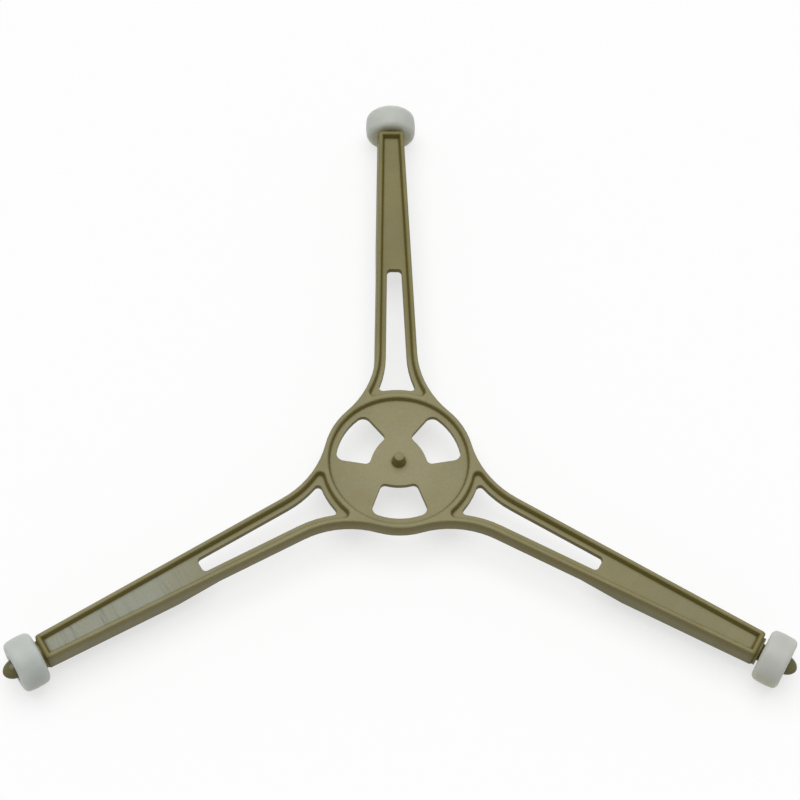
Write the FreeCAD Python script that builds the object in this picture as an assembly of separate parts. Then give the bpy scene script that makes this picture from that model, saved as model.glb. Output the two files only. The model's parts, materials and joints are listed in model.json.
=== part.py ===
import FreeCAD, Part
import math
import os

Vec = FreeCAD.Vector
UP = Vec(0, 0, 1)
ORIGIN = Vec(0, 0, 0)

# Three-arm roller support of a microwave turntable, in millimetres and degrees.
# The hub's axis is Z, and the rollers stand on the plane z = 0.

# The arms in order about the hub, evenly spaced, and the first one's direction seen from above
arm_names = ("rear", "left", "right")
rear_arm_angle = 90.0

# Rollers
roller_diameter = 14.1
roller_width = 7.2
roller_edge_radius = 1.5
tread_crown_radius = 18.0
bore_chamfer = 0.3
head_recess_diameter = 6.6
head_recess_depth = 2.0

# Axle pins, moulded on the arms' ends
axle_diameter = 4.6
bore_clearance = 0.08
shoulder_diameter = 7.4
shoulder_length = 0.7
end_play = 1.1
head_diameter = 5.2
head_length = 3.9

# Where each roller stands within its end play: 0 at the shoulder, 1 at the snap head
roller_slide = {"rear": 0.05, "left": 0.05, "right": 0.45}

# Hub
hub_diameter = 39.7
rim_width = 1.15
dish_depth = 1.3
rim_above_axle = 4.8

# Centre peg
peg_foot_diameter = 3.7
peg_top_diameter = 2.6
peg_height = 3.5
peg_dome_height = 0.35

# Fan-shaped windows between the arms
window_inner_radius = 7.05
window_inner_arc_radius = 13.0
window_outer_radius = 16.65
window_side_offset = 2.25
window_side_angle = 20.5
window_inner_corner_radius = 1.4
window_outer_corner_radius = 2.2

# Arms
arm_reach = 105.0
arm_tip_width = 6.86
arm_taper = 1.7
flare_radius = 25.5
rib_width = 0.95
end_wall = 1.1
end_chamfer = 0.45
tip_corner_radius = 0.6
tray_depth = 1.55
tray_corner_radius = 0.9
tray_tip_corner_radius = 0.15

# Slots through the arms' floors
slot_reach = 59.6
slot_ledge = 1.2
slot_corner_radius = 1.1

# Walls, floors and moulding draft
floor_thickness = 1.5
skirt_wall = 1.2
root_skirt_depth = 4.3
tip_skirt_depth = 6.0
skirt_step_start = 57.0
skirt_step_length = 12.0
outer_draft = 4.0
recess_draft = 20.0
edge_break = 0.2

# How far a cutting tool runs past the surface that it cuts
overrun = 1.0

# Directions, heights and radii that follow from the sizes above
arm_spacing = 360.0 / len(arm_names)
arm_angles = {name: rear_arm_angle + place * arm_spacing for place, name in enumerate(arm_names)}
axle_z = roller_diameter / 2
rim_z = axle_z + rim_above_axle
dish_z = rim_z - dish_depth
tray_z = rim_z - tray_depth
root_skirt_z = rim_z - root_skirt_depth
tip_skirt_z = rim_z - tip_skirt_depth
hub_radius = hub_diameter / 2
draft_slope = math.tan(math.radians(outer_draft))
recess_slope = math.tan(math.radians(recess_draft))
shoulder_reach = arm_reach + shoulder_length
head_reach = shoulder_reach + roller_width - head_recess_depth + end_play

# One arm's side edge in its own plane: along the arm is x, across it is y
taper = math.radians(arm_taper)
side_normal = Vec(math.sin(taper), math.cos(taper), 0)
side_along = Vec(math.cos(taper), -math.sin(taper), 0)
side_distance = side_normal.dot(Vec(arm_reach, arm_tip_width / 2, 0))

# Centre of the hollow curve that joins the arm's side to the hub
flare_across = side_distance + flare_radius
flare_along = math.sqrt((hub_radius + flare_radius) ** 2 - flare_across ** 2)
flare_centre = side_along * flare_along + side_normal * flare_across


def unit(vector):
    """The vector at length one."""
    return vector * (1.0 / vector.Length)


def arc(start, end, centre, bulge):
    """Arc from start to end about centre, passing on the side that bulge points to."""
    radius = (start - centre).Length
    return Part.Arc(start, centre + unit(bulge) * radius, end).toShape()


def line(start, end):
    """Straight edge."""
    return Part.makeLine(start, end)


def mirrored(point):
    """The same point on the arm's other side."""
    return Vec(point.x, -point.y, point.z)


def circles_meet(radius, other_centre, other_radius):
    """Where a circle about the hub meets another circle, on the side nearer to the arm."""
    gap = other_centre.Length
    along = (gap ** 2 + radius ** 2 - other_radius ** 2) / (2 * gap)
    across = math.sqrt(radius ** 2 - along ** 2)
    toward = unit(other_centre)
    return toward * along + Vec(toward.y, -toward.x, 0) * across


def tip_corner(set_in, tip_x, corner):
    """Points of a rounded corner at an arm's end: on the side, at mid arc, on the end."""
    x = tip_x - corner
    y = (side_distance - set_in - corner - x * side_normal.x) / side_normal.y
    centre = Vec(x, y, 0)
    on_side = centre + side_normal * corner
    on_end = Vec(tip_x, y, 0)
    middle = centre + unit(side_normal + Vec(1, 0, 0)) * corner
    return on_side, middle, on_end


def arm_side(set_in, tip_x, corner):
    """Edges from the hub out along an arm's side to its end, set in from the outer edge."""
    radius = flare_radius + set_in
    at_hub = unit(flare_centre) * (hub_radius - set_in)
    at_arm = flare_centre - side_normal * radius
    bulge = unit(at_hub - flare_centre) + unit(at_arm - flare_centre)
    on_side, middle, on_end = tip_corner(set_in, tip_x, corner)
    edges = [
        arc(at_hub, at_arm, flare_centre, bulge),
        line(at_arm, on_side),
        Part.Arc(on_side, middle, on_end).toShape(),
    ]
    return edges, at_hub, on_end


def placed(edges, height, angle):
    """Copies of flat edges, turned about the hub and lifted to a height."""
    copies = []
    for edge in edges:
        copy = edge.copy()
        copy.rotate(ORIGIN, UP, angle)
        copy.translate(Vec(0, 0, height))
        copies.append(copy)
    return copies


def reflected(edges):
    """The same edges on the arm's other side."""
    return [edge.mirror(ORIGIN, Vec(0, 1, 0)) for edge in edges]


def wire_of(edges):
    """One closed wire from edges in any order."""
    return Part.Wire(Part.__sortEdges__(edges))


def frame_outline(set_in, end_set_in, height):
    """Outer edge of the hub and the arms, set in from its place at the rim, the ends by their own amount."""
    side, at_hub, on_end = arm_side(set_in, arm_reach - end_set_in, tip_corner_radius)
    sector = side + reflected(side) + [line(on_end, mirrored(on_end))]
    turn = FreeCAD.Rotation(UP, arm_spacing)
    half_turn = FreeCAD.Rotation(UP, arm_spacing / 2)
    sector.append(arc(at_hub, turn.multVec(mirrored(at_hub)), ORIGIN, half_turn.multVec(Vec(1, 0, 0))))
    edges = []
    for angle in arm_angles.values():
        edges += placed(sector, height, angle)
    return wire_of(edges)


def arm_recess_outline(set_in, hub_gap, tip_x, corners, height, angle):
    """Outline of a pocket in an arm: beside the hub's rim, along both sides and across the end."""
    hub_corner, end_corner = corners
    flare = flare_radius + set_in
    hub_arc = hub_radius + hub_gap
    centre = circles_meet(hub_arc + hub_corner, flare_centre, flare + hub_corner)
    on_hub = unit(centre) * hub_arc
    on_flare = flare_centre + unit(centre - flare_centre) * flare
    at_arm = flare_centre - side_normal * flare
    flare_bulge = unit(on_flare - flare_centre) + unit(at_arm - flare_centre)
    corner_bulge = unit(on_hub - centre) + unit(on_flare - centre)
    on_side, middle, on_end = tip_corner(set_in, tip_x, end_corner)
    half = [
        arc(on_hub, on_flare, centre, corner_bulge),
        arc(on_flare, at_arm, flare_centre, flare_bulge),
        line(at_arm, on_side),
        Part.Arc(on_side, middle, on_end).toShape(),
    ]
    edges = half + reflected(half)
    edges.append(line(on_end, mirrored(on_end)))
    edges.append(arc(on_hub, mirrored(on_hub), ORIGIN, Vec(1, 0, 0)))
    return wire_of(placed(edges, height, angle))


def ruled(wires):
    """Solid with straight walls from each wire to the next."""
    return Part.makeLoft(wires, True, True)


def frame_body():
    """The moulding's outer form: drafted sides, upright chamfered arm ends and broken top edges."""
    levels = [(tip_skirt_depth, 0.0), (end_chamfer, 0.0), (edge_break, end_chamfer - edge_break)]
    wires = [frame_outline(-depth * draft_slope, end_set_in, rim_z - depth) for depth, end_set_in in levels]
    return ruled(wires + [frame_outline(edge_break, end_chamfer, rim_z)])


def underside_relief():
    """Space below the shallower skirts near the hub, with the slope down to the deeper ones."""
    low = tip_skirt_z - overrun
    step_end = skirt_step_start + skirt_step_length
    slope_end = step_end + overrun * skirt_step_length / (tip_skirt_depth - root_skirt_depth)
    points = [
        Vec(0, 0, low),
        Vec(slope_end, 0, low),
        Vec(skirt_step_start, 0, root_skirt_z),
        Vec(0, 0, root_skirt_z),
    ]
    profile = Part.Face(Part.makePolygon(points + points[:1]))
    return profile.revolve(ORIGIN, UP, 360)


def dish():
    """Shallow round recess in the hub's top, inside the rim."""
    top_radius = hub_radius - rim_width
    foot_radius = top_radius - dish_depth * recess_slope
    wall = Part.makeCone(foot_radius, top_radius, dish_depth, Vec(0, 0, dish_z))
    lift = 2 * edge_break
    mouth = Part.makeCone(top_radius, top_radius + lift, lift, Vec(0, 0, rim_z - edge_break))
    return wall.fuse(mouth)


def tray(angle):
    """Recess in an arm's top, between its ribs, the hub's rim and the end wall."""
    run = tray_depth * recess_slope
    tip_x = arm_reach - end_wall

    def outline(grow, height):
        corners = (tray_corner_radius + grow, tray_tip_corner_radius)
        foot = run - grow
        return arm_recess_outline(rib_width + foot, foot, tip_x - foot, corners, height, angle)

    break_run = edge_break * recess_slope
    return ruled([
        outline(0.0, tray_z),
        outline(run - break_run, rim_z - edge_break),
        outline(run + edge_break, rim_z),
        outline(run + 2 * edge_break, rim_z + edge_break),
    ])


def arm_underside(angle):
    """Hollow below an arm's floor, between its skirts, the hub's ring and the end wall."""
    top = tray_z - floor_thickness
    low = tip_skirt_z - overrun
    corners = (tray_corner_radius, tray_tip_corner_radius)
    tip_x = arm_reach - end_wall - tray_depth * recess_slope

    def outline(height):
        set_in = skirt_wall - (rim_z - height) * draft_slope
        return arm_recess_outline(set_in, 0.0, tip_x, corners, height, angle)

    return ruled([outline(low), outline(top)])


def hub_underside():
    """Round hollow below the hub's floor, inside its skirt."""
    top = dish_z - floor_thickness
    low = tip_skirt_z - overrun
    return Part.makeCylinder(hub_radius - skirt_wall, top - low, Vec(0, 0, low))


def slot(angle):
    """Long tapering opening through an arm's floor, beside the hub."""
    foot = tray_depth * recess_slope
    top = tray_z + overrun
    low = tray_z - floor_thickness - overrun
    corners = (slot_corner_radius, slot_corner_radius)

    def outline(height):
        narrowing = (tray_z - height) * draft_slope
        ledge = foot + slot_ledge + narrowing
        end_x = slot_reach - narrowing
        return arm_recess_outline(rib_width + ledge, ledge, end_x, corners, height, angle)

    return ruled([outline(low), outline(top)])


def window_corner(arc_centre, arc_radius, corner, inward):
    """Points of a rounded corner between a window's side and the arc at one of its ends."""
    side = math.radians(window_side_angle)
    along = Vec(math.cos(side), math.sin(side), 0)
    normal = Vec(-math.sin(side), math.cos(side), 0)
    across = window_side_offset * math.cos(side) - corner
    reach = arc_radius + inward * corner
    beside = across - normal.dot(arc_centre)
    centre = along * (along.dot(arc_centre) + math.sqrt(reach ** 2 - beside ** 2)) + normal * across
    on_side = centre + normal * corner
    on_arc = arc_centre + unit(centre - arc_centre) * arc_radius
    middle = centre + unit(unit(on_side - centre) + unit(on_arc - centre)) * corner
    return on_side, middle, on_arc


def window(angle):
    """Fan-shaped opening through the hub's floor, with a flat curve for its inner edge."""
    inner_centre = Vec(window_inner_radius - window_inner_arc_radius, 0, 0)
    inner_side, inner_middle, inner_arc = window_corner(
        inner_centre, window_inner_arc_radius, window_inner_corner_radius, 1)
    outer_side, outer_middle, outer_arc = window_corner(
        ORIGIN, window_outer_radius, window_outer_corner_radius, -1)
    half = [
        Part.Arc(inner_arc, inner_middle, inner_side).toShape(),
        line(inner_side, outer_side),
        Part.Arc(outer_side, outer_middle, outer_arc).toShape(),
    ]
    edges = half + reflected(half)
    edges.append(arc(inner_arc, mirrored(inner_arc), inner_centre, Vec(1, 0, 0)))
    edges.append(arc(outer_arc, mirrored(outer_arc), ORIGIN, Vec(1, 0, 0)))
    low = dish_z - floor_thickness - overrun
    face = Part.Face(wire_of(placed(edges, low, angle)))
    return face.extrude(UP * (floor_thickness + 2 * overrun))


def centre_peg():
    """Small tapered peg with a domed end, standing in the dish."""
    foot = peg_foot_diameter / 2
    top = peg_top_diameter / 2
    low = dish_z - floor_thickness / 2
    dome_z = dish_z + peg_height - peg_dome_height
    dome_radius = (top ** 2 + peg_dome_height ** 2) / (2 * peg_dome_height)
    dome_centre = dish_z + peg_height - dome_radius
    half_angle = math.asin(top / dome_radius) / 2
    toward_middle = Vec(math.sin(half_angle), 0, math.cos(half_angle))
    dome_middle = Vec(0, 0, dome_centre) + toward_middle * dome_radius
    summit = Vec(0, 0, dish_z + peg_height)
    edges = [
        line(Vec(0, 0, low), Vec(foot, 0, low)),
        line(Vec(foot, 0, low), Vec(foot, 0, dish_z)),
        line(Vec(foot, 0, dish_z), Vec(top, 0, dome_z)),
        Part.Arc(Vec(top, 0, dome_z), dome_middle, summit).toShape(),
        line(summit, Vec(0, 0, low)),
    ]
    return Part.Face(wire_of(edges)).revolve(ORIGIN, UP, 360)


def about_axle(edges, angle):
    """Solid of revolution about an arm's axle, from a profile along x with its radius as z."""
    solid = Part.Face(wire_of(edges)).revolve(ORIGIN, Vec(1, 0, 0), 360)
    solid.translate(Vec(0, 0, axle_z))
    solid.rotate(ORIGIN, UP, angle)
    return solid


def axle_pin(angle):
    """Round shoulder, plain axle and rounded snap head on an arm's end."""
    root = arm_reach - end_wall
    shoulder = shoulder_diameter / 2
    axle = axle_diameter / 2
    head = head_diameter / 2
    tip = Vec(head_reach + head_length, 0, 0)
    lip = Vec(head_reach, 0, head)
    nose = Part.Ellipse(tip, lip, Vec(head_reach, 0, 0))
    corners = [
        Vec(root, 0, 0),
        Vec(root, 0, axle),
        Vec(arm_reach, 0, axle),
        Vec(arm_reach, 0, shoulder),
        Vec(shoulder_reach, 0, shoulder),
        Vec(shoulder_reach, 0, axle),
        Vec(head_reach, 0, axle),
        lip,
    ]
    edges = [line(a, b) for a, b in zip(corners, corners[1:])]
    edges.append(Part.ArcOfEllipse(nose, 0, math.pi / 2).toShape())
    edges.append(line(tip, corners[0]))
    return about_axle(edges, angle)


def arm_frame():
    """The whole moulding: hub, rim, peg, arms, skirts and axle pins."""
    frame = frame_body()
    frame = frame.cut(underside_relief())
    frame = frame.cut(hub_underside())
    frame = frame.cut(dish())
    for angle in arm_angles.values():
        frame = frame.cut(arm_underside(angle))
        frame = frame.cut(tray(angle))
        frame = frame.cut(slot(angle))
        frame = frame.cut(window(angle + 180.0))
    frame = frame.fuse(centre_peg())
    for angle in arm_angles.values():
        frame = frame.fuse(axle_pin(angle))
    return frame.removeSplitter()


def roller(name):
    """Crowned roller with rounded edges, a plain bore and a recess for the snap head."""
    start = shoulder_reach + roller_slide[name] * end_play
    end = start + roller_width
    middle = (start + end) / 2
    radius = roller_diameter / 2
    bore = axle_diameter / 2 + bore_clearance
    recess = head_recess_diameter / 2
    recess_x = end - head_recess_depth
    crown = Vec(middle, 0, radius - tread_crown_radius)
    reach = tread_crown_radius - roller_edge_radius
    edge_x = start + roller_edge_radius
    edge_z = crown.z + math.sqrt(reach ** 2 - (middle - edge_x) ** 2)
    edge_centre = Vec(edge_x, 0, edge_z)

    def across(point):
        return Vec(2 * middle - point.x, 0, point.z)

    on_face = Vec(start, 0, edge_z)
    on_tread = crown + unit(edge_centre - crown) * tread_crown_radius
    bulge = unit(on_face - edge_centre) + unit(on_tread - edge_centre)
    edge_middle = edge_centre + unit(bulge) * roller_edge_radius
    corners = [
        across(on_face),
        Vec(end, 0, recess),
        Vec(recess_x, 0, recess),
        Vec(recess_x, 0, bore),
        Vec(start + bore_chamfer, 0, bore),
        Vec(start, 0, bore + bore_chamfer),
        on_face,
    ]
    edges = [line(a, b) for a, b in zip(corners, corners[1:])]
    edges.append(Part.Arc(on_face, edge_middle, on_tread).toShape())
    edges.append(Part.Arc(on_tread, Vec(middle, 0, radius), across(on_tread)).toShape())
    edges.append(Part.Arc(across(on_tread), across(edge_middle), across(on_face)).toShape())
    return about_axle(edges, arm_angles[name])


os.makedirs("parts", exist_ok=True)
arm_frame().exportStep("parts/arm_frame.step")
for roller_name in arm_angles:
    roller(roller_name).exportStep("parts/roller_" + roller_name + ".step")
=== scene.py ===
"""Looks of a three-arm turntable roller support: one khaki moulding on three white rollers.

Everything is in metres, in the CAD model's own frame: the hub's axis is Z, the rollers stand on
z = 0 and the rear arm points along +Y.
"""

import json
import math

import bpy
import numpy as np
from mathutils import Matrix, Vector


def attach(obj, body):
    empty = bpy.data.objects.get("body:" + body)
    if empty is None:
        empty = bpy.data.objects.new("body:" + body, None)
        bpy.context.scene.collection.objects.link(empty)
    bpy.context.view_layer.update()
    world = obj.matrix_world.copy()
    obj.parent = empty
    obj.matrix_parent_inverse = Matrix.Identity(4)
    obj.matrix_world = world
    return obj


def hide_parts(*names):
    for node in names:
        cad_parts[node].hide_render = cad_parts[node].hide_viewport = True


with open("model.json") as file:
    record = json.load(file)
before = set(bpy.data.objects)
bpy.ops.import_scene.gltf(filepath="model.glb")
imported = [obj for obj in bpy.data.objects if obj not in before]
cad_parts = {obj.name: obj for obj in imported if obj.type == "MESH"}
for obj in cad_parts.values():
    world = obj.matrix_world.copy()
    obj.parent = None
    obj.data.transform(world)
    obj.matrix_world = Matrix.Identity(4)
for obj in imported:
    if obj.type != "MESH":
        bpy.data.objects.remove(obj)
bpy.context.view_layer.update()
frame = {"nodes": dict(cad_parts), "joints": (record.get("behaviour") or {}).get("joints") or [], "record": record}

bl_info = {
    "name": "Turntable roller support",
    "version": (1, 0, 0),
    "blender": (4, 5, 0),
    "location": "View3D > Sidebar > Turntable",
    "description": "Finishes the moulded arm frame, makes its rollers and sets the studio stage",
    "category": "Object",
}

# Which joint turns each roller; the joint gives the axle's place and direction
ROLLER_JOINTS = {
    "roller_rear": "rear_roller_spin",
    "roller_left": "left_roller_spin",
    "roller_right": "right_roller_spin",
}
JOINTS = {joint["name"]: joint for joint in frame["joints"]}
MOUNTS = {mount["name"]: mount for mount in frame["record"]["mounts"]}
UPWARD = np.array([0.0, 0.0, 1.0])
WHITE = (1.0, 1.0, 1.0, 1.0)

# A roller's surface stays this far inside its solid
SKIN = 0.00001

# Steps of a roller's mesh: round the axle, then along each stretch of its profile
STEPS_AROUND = 144
EDGE_STEPS = 14
TREAD_STEPS = 18
FACE_STEPS = 12
RECESS_WALL_STEPS = 4
RECESS_FLOOR_STEPS = 3
BORE_STEPS = 6
CHAMFER_STEPS = 2

# Points along each side of the floor
FLOOR_POINTS = 9

# Edges that turn by more than this stay sharp
SHARP_TURN = math.radians(32.0)

# Width of the picture's frame in millimetres, and the nearest distance that the camera sees
SENSOR_WIDTH = 36.0
NEAREST_SEEN = 0.02

# Heights on the moulding: the dish's floor, the level that parts the floors from the ribs' tops, and
# the band in which the painted shade on the sides turns from its darker tone up high to its lighter tone lower
# down
DISH_FLOOR = MOUNTS["hub_dish_floor"]["pos_m"][2]
FLOOR_TOP = (DISH_FLOOR + 0.00065, DISH_FLOOR + 0.00015)
SIDE_BAND = (DISH_FLOOR + 0.00025, DISH_FLOOR - 0.00235)

# Upward part of the normal over which a surface turns into a floor, and into a wall
FLOOR_FACING = (0.90, 0.98)
WALL_FACING = (0.75, 0.25)

# Stretches along an arm from the hub's axis over which painted sheen with scuffs, painted shade, the browner end
# and the darker pin set in
SHEEN_AND_SCUFF_STRETCH = (0.050, 0.077)
SHADED_STRETCH = (0.020, 0.042)
BROWNED_END = (0.1030, 0.1043)
DARKER_PIN = (0.1058, 0.1062)

# Distances from the hub's axis over which the dish's painted light and its scratches set in
DISH_LIGHT_RADII = (0.0190, 0.0040)
SCRATCHED_RADII = (0.0185, 0.0160)

# Kinds of rub marks: how their noise is stretched, and the share of the surface that they cover
ARM_STREAKS = {"Stretch": (560.0, 50.0, 40.0), "Share": 0.58}
DISH_SCRATCHES = {"Stretch": (190.0, 1500.0, 40.0), "Share": 0.31}
TREAD_MARKS = {"Stretch": (7.0, 260.0, 1.0), "Share": 0.42}

# Detail and roughness of each noise, and the range in which the patches' noise turns into a patch
GRAIN_NOISE = (3.0, 0.6)
PATCH_NOISE = (4.0, 0.62)
MARK_NOISE = (5.0, 0.68)
PATCH_RANGE = (0.34, 0.66)

# A rub mark starts at a level of its noise, which a full share lowers, and is full a rise above that
MARK_START = 0.72
MARK_LOWERING = 0.4
MARK_RISE = 0.22

# Depth of the rub marks on the frame and on the treads, in heights of the grain
FRAME_MARK_DEPTH = 3.0
TREAD_MARK_DEPTH = 0.5

# Cosine of the turn at which an edge starts to get its painted highlight and fully has it, and the rays that find
# it
EDGE_TURN = (0.985, 0.86)
EDGE_RAYS = 6

# Share of open sky at which a hollow corner starts to get painted shade and is fully shaded, and the rays that
# find it
OPEN_SKY = (0.93, 0.64)
SKY_RAYS = 8

# Ranges of the grain, from its hollows to its tops, and what changes over them
SPECKLED_GRAIN, SPECKLE = (0.3, 0.7), (0.96, 1.07)
EDGE_HIGHLIGHT_GRAIN, EDGE_HIGHLIGHT_SHARE = (0.35, 0.6), (0.15, 0.5)
SHEEN_AND_SCUFF_GRAIN, SHEEN_AND_SCUFF_SHARE = (0.3, 0.6), (0.85, 1.0)

# Share of the painted khaki bounce light between a roller's clouds and on them
BOUNCE_SHARE = (0.8, 1.0)

# Noise of the floor's clouds: scale, detail and roughness
FLOOR_NOISE = (3.0, 2.0, 0.5)

# How much each arm's floor is greyed by painted sheen mixed with scuffs, and browned by painted shade toward its
# tip, by the joint at the arm's end
ARM_WEAR_AND_LIGHT = {
    "left_roller_spin": {"sheen_and_scuffs": 0.95, "shade_and_brown_ends": 0.0},
    "right_roller_spin": {"sheen_and_scuffs": 0.10, "shade_and_brown_ends": 0.32},
    "rear_roller_spin": {"sheen_and_scuffs": 0.04, "shade_and_brown_ends": 0.70},
}

# Where each roller gets the most painted warm bounce light, seen from its axle, and how much
WARM_BOUNCE_SIDE = np.array([0.0, -0.6, -0.8])
WARM_BOUNCE = {"roller_rear": 0.30, "roller_left": 0.45, "roller_right": 1.0}

# Kinds of sockets on the shader groups
FLOAT = "NodeSocketFloat"
VECTOR = "NodeSocketVector"


def length(name, description, default):
    """A length that a user may change, in metres."""
    return bpy.props.FloatProperty(
        name=name, description=description, default=default, min=0.0,
        precision=5, subtype="DISTANCE", unit="LENGTH",
    )


def share(name, description, default):
    """A number from nought to one that a user may change."""
    return bpy.props.FloatProperty(
        name=name, description=description, default=default, min=0.0, max=1.0, subtype="FACTOR",
    )


def colour(name, description, default):
    """A colour that a user may change."""
    return bpy.props.FloatVectorProperty(
        name=name, description=description, default=default, min=0.0, max=1.0, size=3, subtype="COLOR",
    )


def angle(name, description, degrees):
    """An angle that a user may change."""
    return bpy.props.FloatProperty(
        name=name, description=description, default=math.radians(degrees),
        subtype="ANGLE", unit="ROTATION",
    )


class FrameFinish(bpy.types.PropertyGroup):
    """Finish of the khaki moulding"""

    khaki: colour("Khaki", "Colour of the moulded plastic", (0.216, 0.199, 0.098))
    pale_khaki: colour("Pale khaki", "Colour of its paler patches", (0.256, 0.235, 0.124))
    # Painted shade on steep walls: darker just below the top, paler and greyer lower down
    wall_shade_high: colour("Wall shade high", "Colour of steep walls just below the top", (0.165, 0.136, 0.034))
    wall_shade_low: colour("Wall shade low", "Colour of the sides lower down", (0.205, 0.188, 0.094))
    # Painted sheen mixed with scuffs: the grey of the worn arms' floors
    sheen_and_scuffs: colour("Sheen and scuffs", "Colour of floors that are rubbed grey", (0.282, 0.295, 0.239))
    # Painted light: the dish's floor lighter near the hub's axis
    painted_dish_light: colour("Painted dish light", "Colour of the dish's polished floor", (0.285, 0.262, 0.148))
    # Painted shade in hollow corners
    corner_shade_colour: colour("Corner shade colour", "Colour of hollow corners", (0.105, 0.084, 0.018))
    # Painted highlight along the softened edges
    edge_highlight: colour("Edge highlight", "Colour along edges worn by handling", (0.270, 0.250, 0.145))
    # Painted shade browns the rear and right arms' floors toward their tips; the same tint makes the arms' ends
    # browner
    brown_tint: colour("Brown tint", "Tint of what heat has browned", (0.74, 0.715, 0.46))
    # Darker tint on the axle pins
    pin_darkening: colour("Pin darkening", "Tint of the axle pins, dark with old grease", (0.70, 0.72, 0.75))
    blotched: colour("Blotched", "Tint of faint uneven blotches", (0.99, 0.960, 0.905))
    edge_softness: length("Edge softness", "Radius of the moulding's softened edges", 0.00022)
    grain_size: length("Grain size", "Size of the spark-eroded grain", 0.00045)
    grain_height: length("Grain height", "Height of the spark-eroded grain", 0.00006)
    grain_relief: share("Grain relief", "Strength of the grain's light and shade", 0.35)
    patch_size: length("Patch size", "Size of the paler patches", 0.018)
    blotch_size: length("Blotch size", "Size of the faint uneven blotches", 0.0055)
    fleck_size: length("Fleck size", "Size of the flecks in scuffed floors", 0.001375)
    # Strength of the painted light on the dish's floor at the hub's axis
    dish_light: share("Dish light", "Polish of the dish's floor at the hub's axis", 0.8)
    browned_ends: share("Browned ends", "Browning of the arms' ends", 0.8)
    faint_streaks: share("Faint streaks", "Strength of the marks across plain floors", 0.04)
    streaks: share("Streaks", "Strength of the marks across scuffed floors", 0.30)
    scratches: share("Scratches", "Strength of the dish's short scratches", 0.13)
    scratch_turn: angle("Scratch turn", "Turn of the dish's scratches", -9.0)
    # Painted shade in hollow corners: its strength, its reach and the roughness added under it
    corner_shade: share("Painted shade", "Strength of the grime in hollow corners", 0.75)
    corner_shade_reach: length("Corner shade reach", "How far grime reaches out of hollow corners", 0.0008)
    shaded_corner_dullness: share("Shaded corner dullness", "Roughness that grime adds", 0.15)
    roughness: share("Roughness", "Mean roughness of the satin surface", 0.47)
    roughness_spread: share("Roughness spread", "How far patches differ from that roughness", 0.05)
    shine: share("Shine", "Strength of the mirrored light", 0.22)


class RollerFinish(bpy.types.PropertyGroup):
    """Shape and finish of the white rollers"""

    rear_white: colour("Rear white", "Colour of the rear roller's plastic", (0.500, 0.518, 0.480))
    left_white: colour("Left white", "Colour of the left roller's plastic", (0.498, 0.530, 0.505))
    right_white: colour("Right white", "Colour of the right roller's plastic", (0.502, 0.512, 0.477))
    # Grey of the tread marks and faint clouds, also used for painted shade in the roller's hollow corners
    marks_and_shade_grey: colour("Marks and shade grey", "Colour of the marks that the track leaves", (0.350, 0.352, 0.322))
    # Painted khaki bounce light from the arm's end, lightening the shaded inner face
    khaki_bounce: colour("Khaki bounce", "Colour of the dust that the arm's end leaves", (0.62, 0.59, 0.36))
    # Painted warm bounce light: a tint on each roller's lower front side
    warm_bounce: colour("Warm bounce", "Tint of the side that has yellowed most", (0.93, 0.88, 0.60))
    edge_radius: length("Edge radius", "Rounding between tread and end faces", 0.0015)
    crown_radius: length("Crown radius", "Radius of the tread's crown along the axle", 0.018)
    bore_diameter: length("Bore diameter", "Diameter of the running bore", 0.00476)
    bore_chamfer: length("Bore chamfer", "Chamfer at the bore's inner mouth", 0.0003)
    recess_diameter: length("Recess diameter", "Diameter of the recess round the snap head", 0.0066)
    recess_depth: length("Recess depth", "Depth of the recess round the snap head", 0.002)
    gate_radius: length("Gate radius", "Radius of the small dimple left by the moulding gate", 0.0005)
    gate_depth: length("Gate depth", "Depth of the small dimple left by the moulding gate", 0.00025)
    # How far the painted khaki bounce light reaches along the axle from the inner face and out from the bore
    bounce_depth: length("Bounce depth", "How far dust reaches from the inner face along the axle", 0.0010)
    bounce_reach: length("Bounce reach", "How far dust reaches from the bore outwards", 0.0026)
    edge_softness: length("Edge softness", "Radius of the softened corners", 0.0002)
    # Reach of the painted shade in the roller's hollow corners
    corner_shade_reach: length("Corner shade reach", "How far grime reaches out of hollow corners", 0.0015)
    grain_size: length("Grain size", "Size of the fine grain", 0.0003125)
    grain_height: length("Grain height", "Height of the fine grain", 0.00004)
    grain_relief: share("Grain relief", "Strength of the grain's light and shade", 0.2)
    cloud_size: length("Cloud size", "Size of the faint clouds", 0.005263)
    clouds: share("Clouds", "Greyness of the faint clouds", 0.16)
    tread_marks: share("Tread marks", "Greyness of the marks round the tread", 0.38)
    mark_dullness: share("Mark dullness", "Roughness that the marks add", 0.14)
    roughness: share("Roughness", "Mean roughness of the slippery plastic", 0.42)
    shine: share("Shine", "Strength of the mirrored light", 0.3)
    glow_depth: length("Glow depth", "How deep light spreads in the milky plastic", 0.006)
    glow: share("Glow", "Share of light that spreads inside the milky plastic", 0.85)
    glow_tint: colour("Glow tint", "How far each colour of light spreads", (1.0, 1.0, 0.9))


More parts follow.
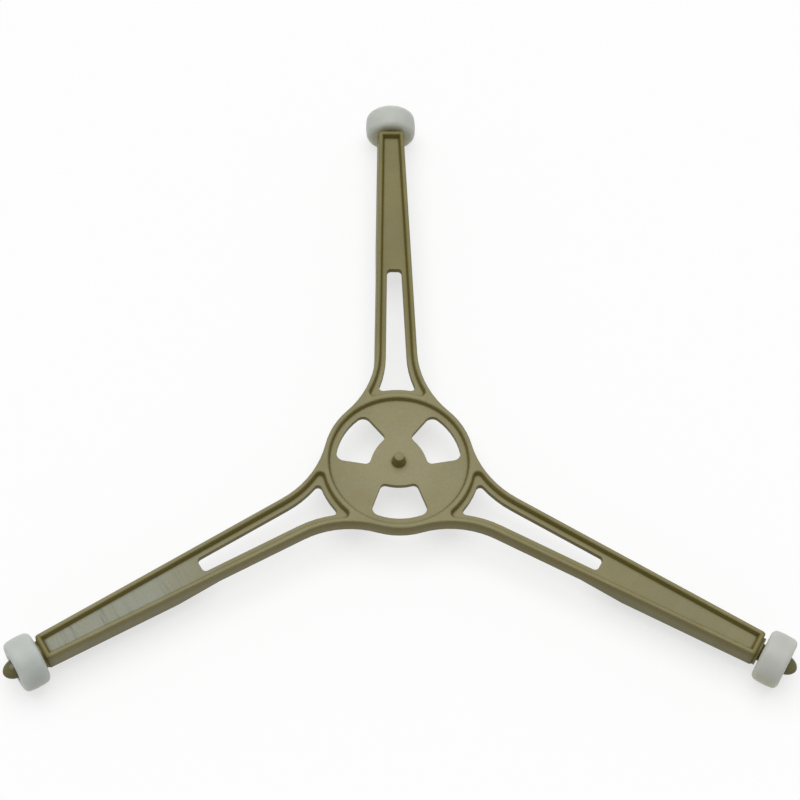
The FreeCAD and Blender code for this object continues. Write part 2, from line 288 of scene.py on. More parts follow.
class StageLook(bpy.types.PropertyGroup):
    """Floor, lights and camera"""

    floor_colour: colour("Floor colour", "Colour of the pale floor", (0.80, 0.80, 0.80))
    floor_cloud: share("Floor cloud", "How much darker the floor's faint clouds are", 0.015)
    floor_glow: share("Floor glow", "Share of plain white that the eye sees in the floor", 0.65)
    floor_roughness: share("Floor roughness", "Roughness of the matt floor", 0.9)
    floor_half: length("Floor half width", "Half the width of the square floor", 6.0)
    fill: share("Fill", "Even light from all round", 0.36)
    key_level: share("Key level", "Share of a level surface's light that the key lamp gives", 0.60)
    key_height: angle("Key height", "Height of the key lamp above the horizon", 76.0)
    key_turn: angle("Key turn", "Turn of the key lamp to the left of the rear arm", 15.0)
    key_spread: angle("Key spread", "Apparent size of the key lamp", 60.0)
    camera_height: angle("Camera height", "Height of the camera above the horizon, seen from the hub", 63.182)
    camera_turn: angle("Camera turn", "Turn of the camera about the hub", -5.575)
    camera_roll: angle("Camera roll", "Turn of the picture about the line of sight", 4.727)
    camera_distance: length("Camera distance", "Distance of the camera from the hub's rim", 0.58896)
    camera_aim: bpy.props.FloatVectorProperty(
        name="Camera aim", description="Point at the middle of the picture",
        default=(0.00064, 0.01770, 0.01185), size=3, precision=5, subtype="TRANSLATION", unit="LENGTH",
    )
    lens: bpy.props.FloatProperty(
        name="Lens", description="Focal length on a 36 mm frame, in millimetres", default=100.63,
    )


def add_node(tree, kind, inputs=None, **settings):
    """A shader node with its settings made; each input gets a value, or a link where a socket is given."""
    node = tree.nodes.new(kind)
    for name, value in settings.items():
        setattr(node, name, value)
    for key, value in (inputs or {}).items():
        if isinstance(value, bpy.types.NodeSocket):
            tree.links.new(value, node.inputs[key])
        else:
            node.inputs[key].default_value = value
    return node


def maths(tree, operation, first, second=0.0):
    """One arithmetic step on two values or sockets."""
    return add_node(tree, "ShaderNodeMath", {0: first, 1: second}, operation=operation).outputs[0]


def vector_maths(tree, operation, inputs):
    """One step of vector arithmetic."""
    return add_node(tree, "ShaderNodeVectorMath", inputs, operation=operation).outputs


def ramp(tree, value, start, end, low=0.0, high=1.0):
    """Smooth step of a value: low up to start, high from end on."""
    inputs = {"Value": value, "From Min": start, "From Max": end, "To Min": low, "To Max": high}
    node = add_node(tree, "ShaderNodeMapRange", inputs, interpolation_type="SMOOTHSTEP")
    return node.outputs["Result"]


def blend_colours(tree, factor, first, second):
    """Colour between two colours or sockets."""
    inputs = {0: factor, 6: first, 7: second}
    node = add_node(tree, "ShaderNodeMix", inputs, data_type="RGBA", clamp_factor=True)
    return node.outputs[2]


def rgba(value):
    """A property's colour with full alpha."""
    return (*value, 1.0)


def new_group(name, inputs, outputs):
    """An empty shader group; returns its tree, the sockets it is given and the sockets it makes."""
    tree = bpy.data.node_groups.new(name, "ShaderNodeTree")
    for socket, kind in inputs.items():
        tree.interface.new_socket(name=socket, in_out="INPUT", socket_type=kind)
    for socket, kind in outputs.items():
        tree.interface.new_socket(name=socket, in_out="OUTPUT", socket_type=kind)
    return tree, add_node(tree, "NodeGroupInput").outputs, add_node(tree, "NodeGroupOutput").inputs


def noise(tree, place, scale, detail, roughness):
    """Soft noise from nought to one."""
    inputs = {"Vector": place, "Scale": scale, "Detail": detail, "Roughness": roughness}
    return add_node(tree, "ShaderNodeTexNoise", inputs).outputs["Fac"]


def moulded_grain_group():
    """Grain and cloudy patches of a moulded surface: two noises, each at its own scale."""
    tree, given, made = new_group(
        "Moulded grain",
        {"Vector": VECTOR, "Grain Scale": FLOAT, "Patch Scale": FLOAT},
        {"Grain": FLOAT, "Patch": FLOAT},
    )
    grain = noise(tree, given["Vector"], given["Grain Scale"], *GRAIN_NOISE)
    patch = noise(tree, given["Vector"], given["Patch Scale"], *PATCH_NOISE)
    tree.links.new(grain, made["Grain"])
    tree.links.new(ramp(tree, patch, *PATCH_RANGE), made["Patch"])
    return tree


def rub_marks_group():
    """Fine parallel marks: noise whose coordinates are stretched, cut to thin lines of varied strength."""
    tree, given, made = new_group(
        "Rub marks",
        {"Vector": VECTOR, "Stretch": VECTOR, "Share": FLOAT},
        {"Marks": FLOAT},
    )
    place = vector_maths(tree, "MULTIPLY", {0: given["Vector"], 1: given["Stretch"]})["Vector"]
    lines = noise(tree, place, 1.0, *MARK_NOISE)
    start = maths(tree, "SUBTRACT", MARK_START, maths(tree, "MULTIPLY", given["Share"], MARK_LOWERING))
    full = maths(tree, "ADD", start, MARK_RISE)
    tree.links.new(ramp(tree, lines, start, full), made["Marks"])
    return tree


def soft_edges_group():
    """Mask of outer edges: how far the surface turns within a small radius."""
    tree, given, made = new_group("Soft edges", {"Radius": FLOAT}, {"Edge": FLOAT, "Normal": VECTOR})
    inputs = {"Radius": given["Radius"]}
    soft = add_node(tree, "ShaderNodeBevel", inputs, samples=EDGE_RAYS).outputs["Normal"]
    true = add_node(tree, "ShaderNodeNewGeometry").outputs["Normal"]
    turn = vector_maths(tree, "DOT_PRODUCT", {0: soft, 1: true})["Value"]
    tree.links.new(ramp(tree, turn, *EDGE_TURN), made["Edge"])
    tree.links.new(soft, made["Normal"])
    return tree


def corner_shade_group():
    """Mask of hollow corners for painted shade: how much of the sky is hidden within a short reach."""
    tree, given, made = new_group("Corner shade", {"Reach": FLOAT}, {"Painted shade": FLOAT})
    inputs = {"Distance": given["Reach"]}
    sky = add_node(tree, "ShaderNodeAmbientOcclusion", inputs, samples=SKY_RAYS, only_local=True)
    tree.links.new(ramp(tree, sky.outputs["AO"], *OPEN_SKY), made["Painted shade"])
    return tree


GROUP_MAKERS = {
    "Moulded grain": moulded_grain_group,
    "Rub marks": rub_marks_group,
    "Soft edges": soft_edges_group,
    "Corner shade": corner_shade_group,
}


def place_group(tree, name, inputs):
    """One of the shared shader groups in a material, made the first time that it is asked for."""
    group = bpy.data.node_groups.get(name) or GROUP_MAKERS[name]()
    return add_node(tree, "ShaderNodeGroup", inputs, node_tree=group).outputs


def moulded_grain(tree, place, grain_size, patch_size):
    """Grain and patches of given sizes."""
    inputs = {"Vector": place, "Grain Scale": 1.0 / grain_size, "Patch Scale": 1.0 / patch_size}
    return place_group(tree, "Moulded grain", inputs)


def rub_marks(tree, place, kind):
    """Rub marks of one kind."""
    return place_group(tree, "Rub marks", {"Vector": place, **kind})["Marks"]


def new_material(name):
    """An empty material; returns it with its tree and its Principled shader."""
    material = bpy.data.materials.new(name)
    material.use_nodes = True
    tree = material.node_tree
    tree.nodes.clear()
    shader = add_node(tree, "ShaderNodeBsdfPrincipled")
    add_node(tree, "ShaderNodeOutputMaterial", {"Surface": shader.outputs["BSDF"]})
    return material, tree, shader


def split(tree, vector):
    """The three parts of a vector."""
    return add_node(tree, "ShaderNodeSeparateXYZ", {"Vector": vector}).outputs


def scaled(tree, paint, factor):
    """A colour times a value."""
    return vector_maths(tree, "SCALE", {0: paint, "Scale": factor})["Vector"]


def filtered(tree, paint, factor, tint):
    """A colour through a tint: unchanged where the factor is nought, times the tint where it is one."""
    veil = blend_colours(tree, factor, WHITE, rgba(tint))
    return vector_maths(tree, "MULTIPLY", {0: paint, 1: veil})["Vector"]


def turned_about_axis(tree, place, turn):
    """A place turned about the hub's axis."""
    inputs = {"Vector": place, "Angle": turn}
    return add_node(tree, "ShaderNodeVectorRotate", inputs, rotation_type="Z_AXIS").outputs["Vector"]


def give_relief(tree, shader, finish, height, soft_normal):
    """Fine relief of the grain over the softened edges."""
    inputs = {"Height": height, "Strength": finish.grain_relief, "Distance": finish.grain_height}
    bump = add_node(tree, "ShaderNodeBump", {**inputs, "Normal": soft_normal})
    tree.links.new(bump.outputs["Normal"], shader.inputs["Normal"])


def arm_wear_and_light(tree, place, finish):
    """Masks of the arms: painted sheen with scuffs, painted shade toward the tips with browner ends, darker pins,
    and marks across.
    """
    masks = dict.fromkeys(("sheen_and_scuffs", "shade_and_brown_ends", "pin_darkening", "marks"), 0.0)
    for joint, wear_and_light in ARM_WEAR_AND_LIGHT.items():
        out = JOINTS[joint]["axis"]
        turned = turned_about_axis(tree, place, -math.atan2(out[1], out[0]))
        along = split(tree, turned)["X"]
        # Painted shade, deepening toward the arm's tip
        shade_and_brown_ends = ramp(tree, along, *SHADED_STRETCH, 0.0, wear_and_light["shade_and_brown_ends"])
        # Browner at the arm's end
        browned_end = ramp(tree, along, *BROWNED_END, 0.0, finish.browned_ends)
        streaks = rub_marks(tree, turned, ARM_STREAKS)
        found = {
            # Painted sheen mixed with scuffs
            "sheen_and_scuffs": ramp(tree, along, *SHEEN_AND_SCUFF_STRETCH, 0.0, wear_and_light["sheen_and_scuffs"]),
            "shade_and_brown_ends": maths(tree, "MAXIMUM", shade_and_brown_ends, browned_end),
            # The darker axle pin
            "pin_darkening": ramp(tree, along, *DARKER_PIN),
            "marks": maths(tree, "MULTIPLY", ramp(tree, along, *SHEEN_AND_SCUFF_STRETCH), streaks),
        }
        masks = {name: maths(tree, "MAXIMUM", masks[name], found[name]) for name in masks}
    return masks


def dish_light_and_scratches(tree, place, finish):
    """Masks of the hub's floor: how much painted light it gets, most near the axis, and its short scratches."""
    level = vector_maths(tree, "MULTIPLY", {0: place, 1: (1.0, 1.0, 0.0)})["Vector"]
    from_axis = vector_maths(tree, "LENGTH", {0: level})["Value"]
    # Painted light on the dish's floor, strongest near the axis
    dish_light = ramp(tree, from_axis, *DISH_LIGHT_RADII, 0.0, finish.dish_light)
    turned = turned_about_axis(tree, place, finish.scratch_turn)
    on_dish = ramp(tree, from_axis, *SCRATCHED_RADII, 0.0, finish.scratches)
    return dish_light, maths(tree, "MULTIPLY", rub_marks(tree, turned, DISH_SCRATCHES), on_dish)


def frame_masks(tree, finish):
    """What varies over the moulding: its grain, patches, edges, corners, floors, walls, wear, and painted light
    and shade.
    """
    place = add_node(tree, "ShaderNodeTexCoord").outputs["Object"]
    height = split(tree, place)["Z"]
    facing = split(tree, add_node(tree, "ShaderNodeNewGeometry").outputs["Normal"])["Z"]
    grain = moulded_grain(tree, place, finish.grain_size, finish.patch_size)
    blotch = moulded_grain(tree, place, finish.fleck_size, finish.blotch_size)
    edge = place_group(tree, "Soft edges", {"Radius": finish.edge_softness})
    wear_and_light = arm_wear_and_light(tree, place, finish)
    dish_light, scratches = dish_light_and_scratches(tree, place, finish)
    floors = maths(tree, "MULTIPLY", ramp(tree, facing, *FLOOR_FACING), ramp(tree, height, *FLOOR_TOP))
    flecks = ramp(tree, blotch["Grain"], *SHEEN_AND_SCUFF_GRAIN, *SHEEN_AND_SCUFF_SHARE)
    # Painted sheen mixed with scuffs on the worn arms' floors, broken into flecks
    sheen_and_scuffs = maths(tree, "MULTIPLY", maths(tree, "MULTIPLY", wear_and_light["sheen_and_scuffs"], floors), flecks)
    strength = ramp(tree, sheen_and_scuffs, 0.0, 1.0, finish.faint_streaks, finish.streaks)
    streaks = maths(tree, "MULTIPLY", wear_and_light["marks"], strength)
    return {
        "grain": grain["Grain"],
        "patch": grain["Patch"],
        "blotch": blotch["Patch"],
        "edge": edge["Edge"],
        "soft_normal": edge["Normal"],
        # Painted shade in hollow corners
        "corner_shade": place_group(tree, "Corner shade", {"Reach": finish.corner_shade_reach})["Painted shade"],
        # Where the painted wall shade goes: steep walls, and how far down them
        "steep": ramp(tree, facing, *WALL_FACING),
        "low": ramp(tree, height, *SIDE_BAND),
        # Painted light on the dish's floor
        "painted_dish_light": maths(tree, "MULTIPLY", dish_light, floors),
        "sheen_and_scuffs": sheen_and_scuffs,
        "shade_and_brown_ends": wear_and_light["shade_and_brown_ends"],
        "pin_darkening": wear_and_light["pin_darkening"],
        "marks": maths(tree, "MAXIMUM", streaks, scratches),
    }


def khaki_paint(tree, finish, seen):
    """Colour of the moulding, laid on in turn: patches, painted light on the dish, painted shade on the walls,
    painted highlight on the edges, wear with painted sheen and painted shade on the arms, painted shade in
    corners, and marks.
    """
    paint = blend_colours(tree, seen["patch"], rgba(finish.khaki), rgba(finish.pale_khaki))
    # Painted light on the dish's floor near the hub's axis
    paint = blend_colours(tree, seen["painted_dish_light"], paint, rgba(finish.painted_dish_light))
    # Painted shade on steep walls: darker just below the top, lighter lower down
    sides = blend_colours(tree, seen["low"], rgba(finish.wall_shade_high), rgba(finish.wall_shade_low))
    paint = blend_colours(tree, seen["steep"], paint, sides)
    # Painted highlight along the softened edges, broken up by the grain
    highlighted_edges = ramp(tree, seen["grain"], *EDGE_HIGHLIGHT_GRAIN, *EDGE_HIGHLIGHT_SHARE)
    highlighted_edges = maths(tree, "MULTIPLY", seen["edge"], highlighted_edges)
    paint = blend_colours(tree, highlighted_edges, paint, rgba(finish.edge_highlight))
    # Painted shade browning the arms toward their tips, and browner arm ends
    paint = filtered(tree, paint, seen["shade_and_brown_ends"], finish.brown_tint)
    # Darker axle pins
    paint = filtered(tree, paint, seen["pin_darkening"], finish.pin_darkening)
    # Painted sheen mixed with scuffs greys the worn arms' floors
    paint = blend_colours(tree, seen["sheen_and_scuffs"], paint, rgba(finish.sheen_and_scuffs))
    paint = filtered(tree, paint, seen["blotch"], finish.blotched)
    # Painted shade in hollow corners
    corner_shade = maths(tree, "MULTIPLY", seen["corner_shade"], finish.corner_shade)
    paint = blend_colours(tree, corner_shade, paint, rgba(finish.corner_shade_colour))
    speckle = ramp(tree, seen["grain"], *SPECKLED_GRAIN, *SPECKLE)
    return scaled(tree, paint, maths(tree, "SUBTRACT", speckle, seen["marks"]))


def khaki_plastic(finish):
    """Satin khaki moulding: cloudy grain, painted shade on walls and in corners, painted highlight on edges, arm
    floors with wear, painted sheen and painted shade.
    """
    material, tree, shader = new_material("khaki_moulded_plastic")
    seen = frame_masks(tree, finish)
    tree.links.new(khaki_paint(tree, finish, seen), shader.inputs["Base Color"])
    smoothest = finish.roughness - finish.roughness_spread
    rough = maths(tree, "MULTIPLY", seen["patch"], 2.0 * finish.roughness_spread)
    rough = maths(tree, "ADD", smoothest, rough)
    dull = maths(tree, "MULTIPLY", seen["corner_shade"], finish.shaded_corner_dullness)
    tree.links.new(maths(tree, "ADD", rough, dull), shader.inputs["Roughness"])
    cut = maths(tree, "MULTIPLY", seen["marks"], FRAME_MARK_DEPTH)
    give_relief(tree, shader, finish, maths(tree, "SUBTRACT", seen["grain"], cut), seen["soft_normal"])
    shader.inputs["Specular IOR Level"].default_value = finish.shine
    return material


def milky_paint(tree, finish, side, grain, marks):
    """Colour of a roller, laid on in turn: clouds, marks and painted shade in corners, painted warm bounce light
    on the lower front side, painted khaki bounce light from the arm's end.
    """
    bounce = add_node(tree, "ShaderNodeAttribute", attribute_name="arm_bounce").outputs["Fac"]
    warm_bounce = add_node(tree, "ShaderNodeAttribute", attribute_name="warm_bounce").outputs["Fac"]
    # Painted shade in the roller's hollow corners, in the grey of the marks
    corner_shade = place_group(tree, "Corner shade", {"Reach": finish.corner_shade_reach})["Painted shade"]
    clouds = maths(tree, "MULTIPLY", grain["Patch"], finish.clouds)
    grey = maths(tree, "MAXIMUM", clouds, maths(tree, "MULTIPLY", marks, finish.tread_marks))
    grey = maths(tree, "MAXIMUM", grey, corner_shade)
    white = rgba(getattr(finish, side + "_white"))
    paint = blend_colours(tree, grey, white, rgba(finish.marks_and_shade_grey))
    # Painted warm bounce light: a warmer, darker tint on the lower front side
    paint = filtered(tree, paint, warm_bounce, finish.warm_bounce)
    # Painted khaki bounce light from the arm's end on the inner face, lighter than the white
    bounced = maths(tree, "MULTIPLY", bounce, ramp(tree, grain["Patch"], 0.0, 1.0, *BOUNCE_SHARE))
    return blend_colours(tree, bounced, paint, rgba(finish.khaki_bounce))


def milky_plastic(finish, side):
    """Milky slippery plastic: faint clouds, marks round the tread, painted shade in corners, painted warm bounce
    light on one side, painted khaki bounce light near the arm.
    """
    material, tree, shader = new_material("milky_plastic_" + side)
    place = add_node(tree, "ShaderNodeTexCoord").outputs["Object"]
    around = add_node(tree, "ShaderNodeUVMap", uv_map="around").outputs["UV"]
    grain = moulded_grain(tree, place, finish.grain_size, finish.cloud_size)
    marks = rub_marks(tree, around, TREAD_MARKS)
    tree.links.new(milky_paint(tree, finish, side, grain, marks), shader.inputs["Base Color"])
    dull = maths(tree, "MULTIPLY", marks, finish.mark_dullness)
    tree.links.new(maths(tree, "ADD", finish.roughness, dull), shader.inputs["Roughness"])
    edge = place_group(tree, "Soft edges", {"Radius": finish.edge_softness})
    cut = maths(tree, "MULTIPLY", marks, TREAD_MARK_DEPTH)
    give_relief(tree, shader, finish, maths(tree, "SUBTRACT", grain["Grain"], cut), edge["Normal"])
    shader.inputs["Specular IOR Level"].default_value = finish.shine
    shader.inputs["Subsurface Weight"].default_value = finish.glow
    shader.inputs["Subsurface Scale"].default_value = finish.glow_depth
    shader.inputs["Subsurface Radius"].default_value = finish.glow_tint
    return material


def white_to_the_eye(tree):
    """1 on rays that show the background itself: straight from the camera, mirrored or let through."""
    path = add_node(tree, "ShaderNodeLightPath").outputs
    seen = maths(tree, "MAXIMUM", path["Is Camera Ray"], path["Is Glossy Ray"])
    return maths(tree, "MAXIMUM", seen, path["Is Transmission Ray"])


def pale_floor(look):
    """Matt pale floor with a barely visible cloudiness, to the eye white and part of it plain white."""
    material, tree, shader = new_material("pale_studio_floor")
    place = add_node(tree, "ShaderNodeTexCoord").outputs["Object"]
    cloud = noise(tree, place, *FLOOR_NOISE)
    darker = tuple((1.0 - look.floor_cloud) * value for value in look.floor_colour)
    paint = blend_colours(tree, cloud, rgba(look.floor_colour), rgba(darker))
    seen = white_to_the_eye(tree)
    tree.links.new(blend_colours(tree, seen, paint, WHITE), shader.inputs["Base Color"])
    shader.inputs["Roughness"].default_value = look.floor_roughness
    shader.inputs["Specular IOR Level"].default_value = 0.0
    white = add_node(tree, "ShaderNodeEmission", {"Color": WHITE, "Strength": 1.0})
    part = maths(tree, "MULTIPLY", seen, look.floor_glow)
    mixed = add_node(tree, "ShaderNodeMixShader", {0: part, 1: shader.outputs[0], 2: white.outputs[0]})
    end = next(node for node in tree.nodes if node.type == "OUTPUT_MATERIAL")
    tree.links.new(mixed.outputs[0], end.inputs["Surface"])
    return material


def grid_mesh(name, points, closed_rows, closed_columns):
    """Mesh of a grid of points (rows x columns x 3), with a UV map from the grid's own two shares.

    Each quad joins a point with its next neighbour along the row and down the column; a closed
    direction joins its last point to its first. Quads are turned if they enclose a negative volume.
    """
    rows, columns = points.shape[:2]
    row = np.arange(rows if closed_rows else rows - 1)
    column = np.arange(columns if closed_columns else columns - 1)
    i, j = [side.ravel() for side in np.meshgrid(row, column, indexing="ij")]
    step_i = np.stack([i, i + 1, i + 1, i], 1)
    step_j = np.stack([j, j, j + 1, j + 1], 1)
    quads = (step_i % rows) * columns + step_j % columns
    flat = points.reshape(-1, 3)
    corner = flat[quads]
    spread = np.cross(corner[:, 1] - corner[:, 0], corner[:, 3] - corner[:, 0])
    if np.einsum("ij,ij->", corner.mean(1) - flat.mean(0), spread) < 0.0:
        quads, step_i, step_j = quads[:, ::-1], step_i[:, ::-1], step_j[:, ::-1]
    mesh = bpy.data.meshes.new(name)
    mesh.from_pydata(flat.tolist(), [], quads.tolist())
    uv = np.stack([step_j / (columns - (not closed_columns)), step_i / (rows - (not closed_rows))], -1)
    mesh.uv_layers.new(name="around").data.foreach_set("uv", uv.reshape(-1).astype(np.float32))
    mesh.update()
    return mesh


def straight(start, end, count):
    """Points from start to end, without the end itself."""
    share_along = np.linspace(0.0, 1.0, count, endpoint=False)[:, None]
    return np.array(start) * (1.0 - share_along) + np.array(end) * share_along


def swept(centre, radius, start, end, count):
    """Points of an arc about a centre between two angles, without the last one."""
    turn = np.linspace(start, end, count, endpoint=False)[:, None]
    return np.array(centre) + radius * np.hstack([np.cos(turn), np.sin(turn)])


def roller_profile(near, far, radius, finish):
    """Closed profile of a roller as rows of distance along the axle and distance from it.

    The tread is an arc of crown_radius centred on the roller's middle plane; each edge is an arc of
    edge_radius that meets the tread and the end face smoothly; then come the outer face, the recess
    for the snap head, the bore and the chamfer at its inner mouth.
    """
    middle = (near + far) / 2
    edge = finish.edge_radius
    crown = (middle, radius - finish.crown_radius)
    reach = finish.crown_radius - edge
    half = (far - near) / 2 - edge
    edge_height = crown[1] + math.sqrt(reach ** 2 - half ** 2)
    lean = math.asin(half / reach)
    bore = finish.bore_diameter / 2
    recess = finish.recess_diameter / 2
    floor = far - finish.recess_depth
    chamfer = finish.bore_chamfer
    quarter = math.pi / 2
    near_edge, far_edge = (near + edge, edge_height), (far - edge, edge_height)
    return np.concatenate([
        swept(near_edge, edge, math.pi, quarter + lean, EDGE_STEPS),
        swept(crown, finish.crown_radius, quarter + lean, quarter - lean, TREAD_STEPS),
        swept(far_edge, edge, quarter - lean, 0.0, EDGE_STEPS),
        straight((far, edge_height), (far, recess), FACE_STEPS),
        straight((far, recess), (floor, recess), RECESS_WALL_STEPS),
        straight((floor, recess), (floor, bore), RECESS_FLOOR_STEPS),
        straight((floor, bore), (near + chamfer, bore), BORE_STEPS),
        straight((near + chamfer, bore), (near, bore + chamfer), CHAMFER_STEPS),
        straight((near, bore + chamfer), (near, edge_height), FACE_STEPS),
    ])


def roller_seat(node):
    """A roller's axle direction, axle height, near and far ends and radius, from its joint and solid."""
    joint = JOINTS[ROLLER_JOINTS[node]]
    axle = np.array(joint["axis"], float)
    axle /= np.linalg.norm(axle)
    height = joint["pos_m"][2]
    mesh = frame["nodes"][node].data
    corners = np.empty(len(mesh.vertices) * 3, np.float32)
    mesh.vertices.foreach_get("co", corners)
    corners = corners.reshape(-1, 3).astype(float) - height * UPWARD
    along = corners @ axle
    radius = np.linalg.norm(corners - along[:, None] * axle, axis=1).max()
    return axle, height, along.min() + SKIN, along.max() - SKIN, radius - SKIN


def add_attribute(mesh, name, values):
    """A value for each point of a mesh, for its material to read."""
    flat = values.ravel().astype(np.float32)
    mesh.attributes.new(name, "FLOAT", "POINT").data.foreach_set("value", flat)


def roller_mesh(node, finish):
    """A roller's mesh: its profile carried round the axle.

    A point at angle t round the axle is a * x + r * (s * cos t + z * sin t) + z * axle height, with x
    and r from the profile, a the axle's direction, z upward and s level and square to a. A dimple
    of depth gate_depth * exp(-(distance / gate_radius)^2) on the outer face is the gate mark.
    The attribute for the painted khaki bounce light falls off as a bell curve from the inner face and from the
    bore.
    The attribute for the painted warm bounce light is the cosine, above nought, of the turn away from the side
    that gets it most.
    """
    axle, height, near, far, radius = roller_seat(node)
    profile = roller_profile(near, far, radius, finish)
    turn = np.linspace(0.0, 2 * math.pi, STEPS_AROUND, endpoint=False)
    x, r = profile[:, :1], profile[:, 1:]
    gate_place = (finish.recess_diameter / 2 + radius - finish.edge_radius) / 2
    gap = np.hypot(r * np.cos(turn) - gate_place, r * np.sin(turn))
    dimple = finish.gate_depth * np.exp(-((gap / finish.gate_radius) ** 2))
    x = x - np.isclose(x, far) * dimple
    ring = np.cos(turn)[:, None] * np.cross(UPWARD, axle) + np.sin(turn)[:, None] * UPWARD
    points = x[:, :, None] * axle + r[:, :, None] * ring + height * UPWARD
    mesh = grid_mesh("crowned_" + node, points, True, True)
    # Painted khaki bounce light from the arm's end, falling off from the inner face and the bore
    from_face = (x - near) / finish.bounce_depth
    from_bore = (r - finish.bore_diameter / 2) / finish.bounce_reach
    add_attribute(mesh, "arm_bounce", np.exp(-from_face ** 2 - from_bore ** 2))
    # Painted warm bounce light, strongest on the lower front side
    warm_bounce = WARM_BOUNCE[node] * np.maximum(ring @ WARM_BOUNCE_SIDE, 0.0)
    add_attribute(mesh, "warm_bounce", np.broadcast_to(warm_bounce, x.shape))
    return mesh


def link_object(name, mesh, material):
    """A new object at the origin, smooth with sharp corners kept, in the scene."""
    mesh.materials.append(material)
    mesh.shade_smooth()
    mesh.set_sharp_from_angle(angle=SHARP_TURN)
    made = bpy.data.objects.new(name, mesh)
    bpy.context.scene.collection.objects.link(made)
    return made


class TURNTABLE_OT_dress_frame(bpy.types.Operator):
    """Give the moulded arm frame its satin khaki finish"""

    bl_idname = "turntable.dress_frame"
    bl_label = "Dress arm frame"

    def execute(self, context):
        node = frame["nodes"]["arm_frame"]
        material = khaki_plastic(context.scene.turntable_frame)
        for slot in node.material_slots:
            slot.material = material
        return {"FINISHED"}


class TURNTABLE_OT_make_rollers(bpy.types.Operator):
    """Make the three crowned rollers on the arms' axle pins"""

    bl_idname = "turntable.make_rollers"
    bl_label = "Make rollers"

    def execute(self, context):
        finish = context.scene.turntable_roller
        for node, joint in ROLLER_JOINTS.items():
            material = milky_plastic(finish, node.removeprefix("roller_"))
            piece = link_object("crowned_" + node, roller_mesh(node, finish), material)
            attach(piece, JOINTS[joint]["child"])
            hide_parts(node)
        return {"FINISHED"}


def level_floor(half, height):
    """Square of points x = half * (2 s - 1), y = half * (2 t - 1) at one height."""
    line = np.linspace(-half, half, FLOOR_POINTS)
    x, y = np.meshgrid(line, line, indexing="ij")
    return np.stack([x, y, np.full_like(x, height)], -1)


def set_world(look):
    """Even fill from all round; the background itself shows white to the eye and in reflections."""
    world = bpy.data.worlds.new("studio")
    world.use_nodes = True
    tree = world.node_tree
    tree.nodes.clear()
    fill = add_node(tree, "ShaderNodeBackground", {"Color": WHITE, "Strength": look.fill})
    white = add_node(tree, "ShaderNodeBackground", {"Color": WHITE, "Strength": 1.0})
    inputs = {0: white_to_the_eye(tree), 1: fill.outputs[0], 2: white.outputs[0]}
    mixed = add_node(tree, "ShaderNodeMixShader", inputs)
    add_node(tree, "ShaderNodeOutputWorld", {"Surface": mixed.outputs[0]})
    bpy.context.scene.world = world


def set_key_lamp(look):
    """Broad lamp from behind and above, to the left of the rear arm."""
    lamp = bpy.data.lights.new("key_lamp", "SUN")
    lamp.angle = look.key_spread
    lamp.energy = math.pi * look.key_level / math.sin(look.key_height)
    level = math.cos(look.key_height)
    toward = Vector((
        -math.sin(look.key_turn) * level, math.cos(look.key_turn) * level, math.sin(look.key_height),
    ))
    made = bpy.data.objects.new("key_lamp", lamp)
    made.rotation_mode = "QUATERNION"
    made.rotation_quaternion = toward.to_track_quat("Z", "Y")
    bpy.context.scene.collection.objects.link(made)


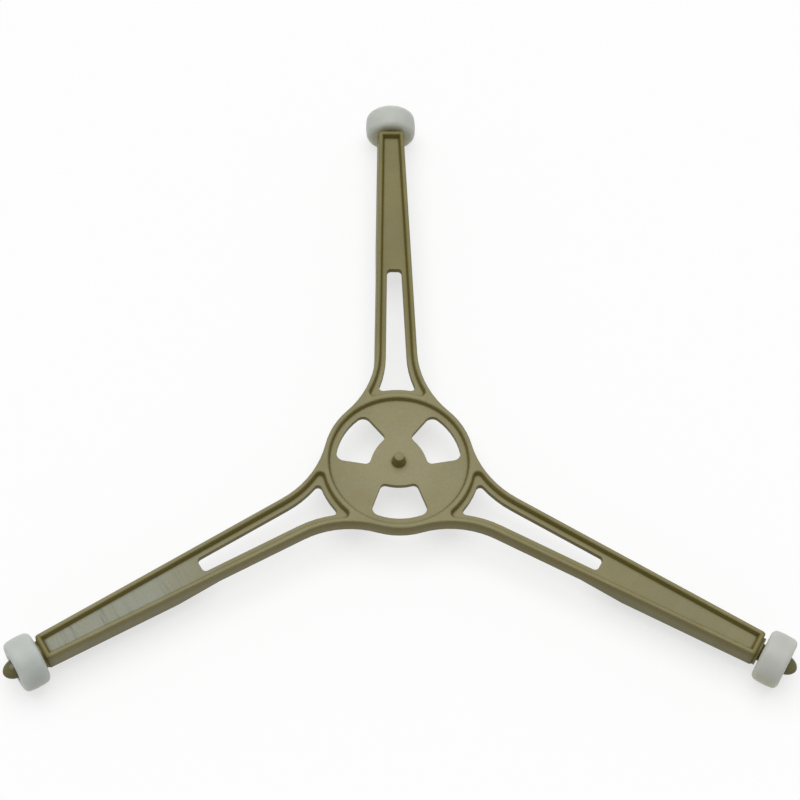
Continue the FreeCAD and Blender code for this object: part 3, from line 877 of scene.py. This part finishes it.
def set_camera(look):
    """Camera on a line from the hub's rim, aimed at a point and rolled about its line of sight."""
    aim = Vector(look.camera_aim)
    level = math.cos(look.camera_height)
    away = Vector((
        math.sin(look.camera_turn) * level, -math.cos(look.camera_turn) * level, math.sin(look.camera_height),
    ))
    place = Vector((0.0, 0.0, aim.z)) + away * look.camera_distance
    sight = (aim - place).normalized()
    right = sight.cross(Vector(UPWARD)).normalized()
    turned = Matrix.Rotation(-look.camera_roll, 3, sight) @ right
    above = turned.cross(sight)
    basis = Matrix((turned, above, -sight)).transposed().to_4x4()
    data = bpy.data.cameras.new("photo_camera")
    data.sensor_width = SENSOR_WIDTH
    data.lens = look.lens
    data.clip_start = NEAREST_SEEN
    made = bpy.data.objects.new("photo_camera", data)
    made.matrix_world = Matrix.Translation(place) @ basis
    bpy.context.scene.collection.objects.link(made)
    bpy.context.scene.camera = made


class TURNTABLE_OT_set_stage(bpy.types.Operator):
    """Lay the pale floor and set the lights and the camera"""

    bl_idname = "turntable.set_stage"
    bl_label = "Set stage"

    def execute(self, context):
        look = context.scene.turntable_stage
        mesh = grid_mesh("studio_floor", level_floor(look.floor_half, 0.0), False, False)
        floor = link_object("studio_floor", mesh, pale_floor(look))
        set_world(look)
        set_key_lamp(look)
        set_camera(look)
        context.scene.view_settings.view_transform = "Standard"
        return {"FINISHED"}


class TURNTABLE_PT_pieces(bpy.types.Panel):
    """Steps and settings of the turntable roller support"""

    bl_idname = "TURNTABLE_PT_pieces"
    bl_label = "Turntable roller support"
    bl_space_type = "VIEW_3D"
    bl_region_type = "UI"
    bl_category = "Turntable"

    def draw(self, context):
        steps = (
            (TURNTABLE_OT_dress_frame, "turntable_frame"),
            (TURNTABLE_OT_make_rollers, "turntable_roller"),
            (TURNTABLE_OT_set_stage, "turntable_stage"),
        )
        for step, settings in steps:
            box = self.layout.box()
            box.operator(step.bl_idname)
            group = getattr(context.scene, settings)
            for name in group.bl_rna.properties.keys():
                if name not in ("rna_type", "name"):
                    box.prop(group, name)


GROUPS = {"turntable_frame": FrameFinish, "turntable_roller": RollerFinish, "turntable_stage": StageLook}
CLASSES = (
    *GROUPS.values(),
    TURNTABLE_OT_dress_frame,
    TURNTABLE_OT_make_rollers,
    TURNTABLE_OT_set_stage,
    TURNTABLE_PT_pieces,
)


def register():
    """Register the classes and put the settings on the scene."""
    for each in CLASSES:
        bpy.utils.register_class(each)
    for name, group in GROUPS.items():
        setattr(bpy.types.Scene, name, bpy.props.PointerProperty(type=group))


def unregister():
    """Take the settings off the scene and unregister the classes."""
    for name in GROUPS:
        delattr(bpy.types.Scene, name)
    for each in reversed(CLASSES):
        bpy.utils.unregister_class(each)


def main():
    register()
    bpy.ops.turntable.dress_frame()
    bpy.ops.turntable.make_rollers()
    bpy.ops.turntable.set_stage()


if __name__ == "__main__":
    main()
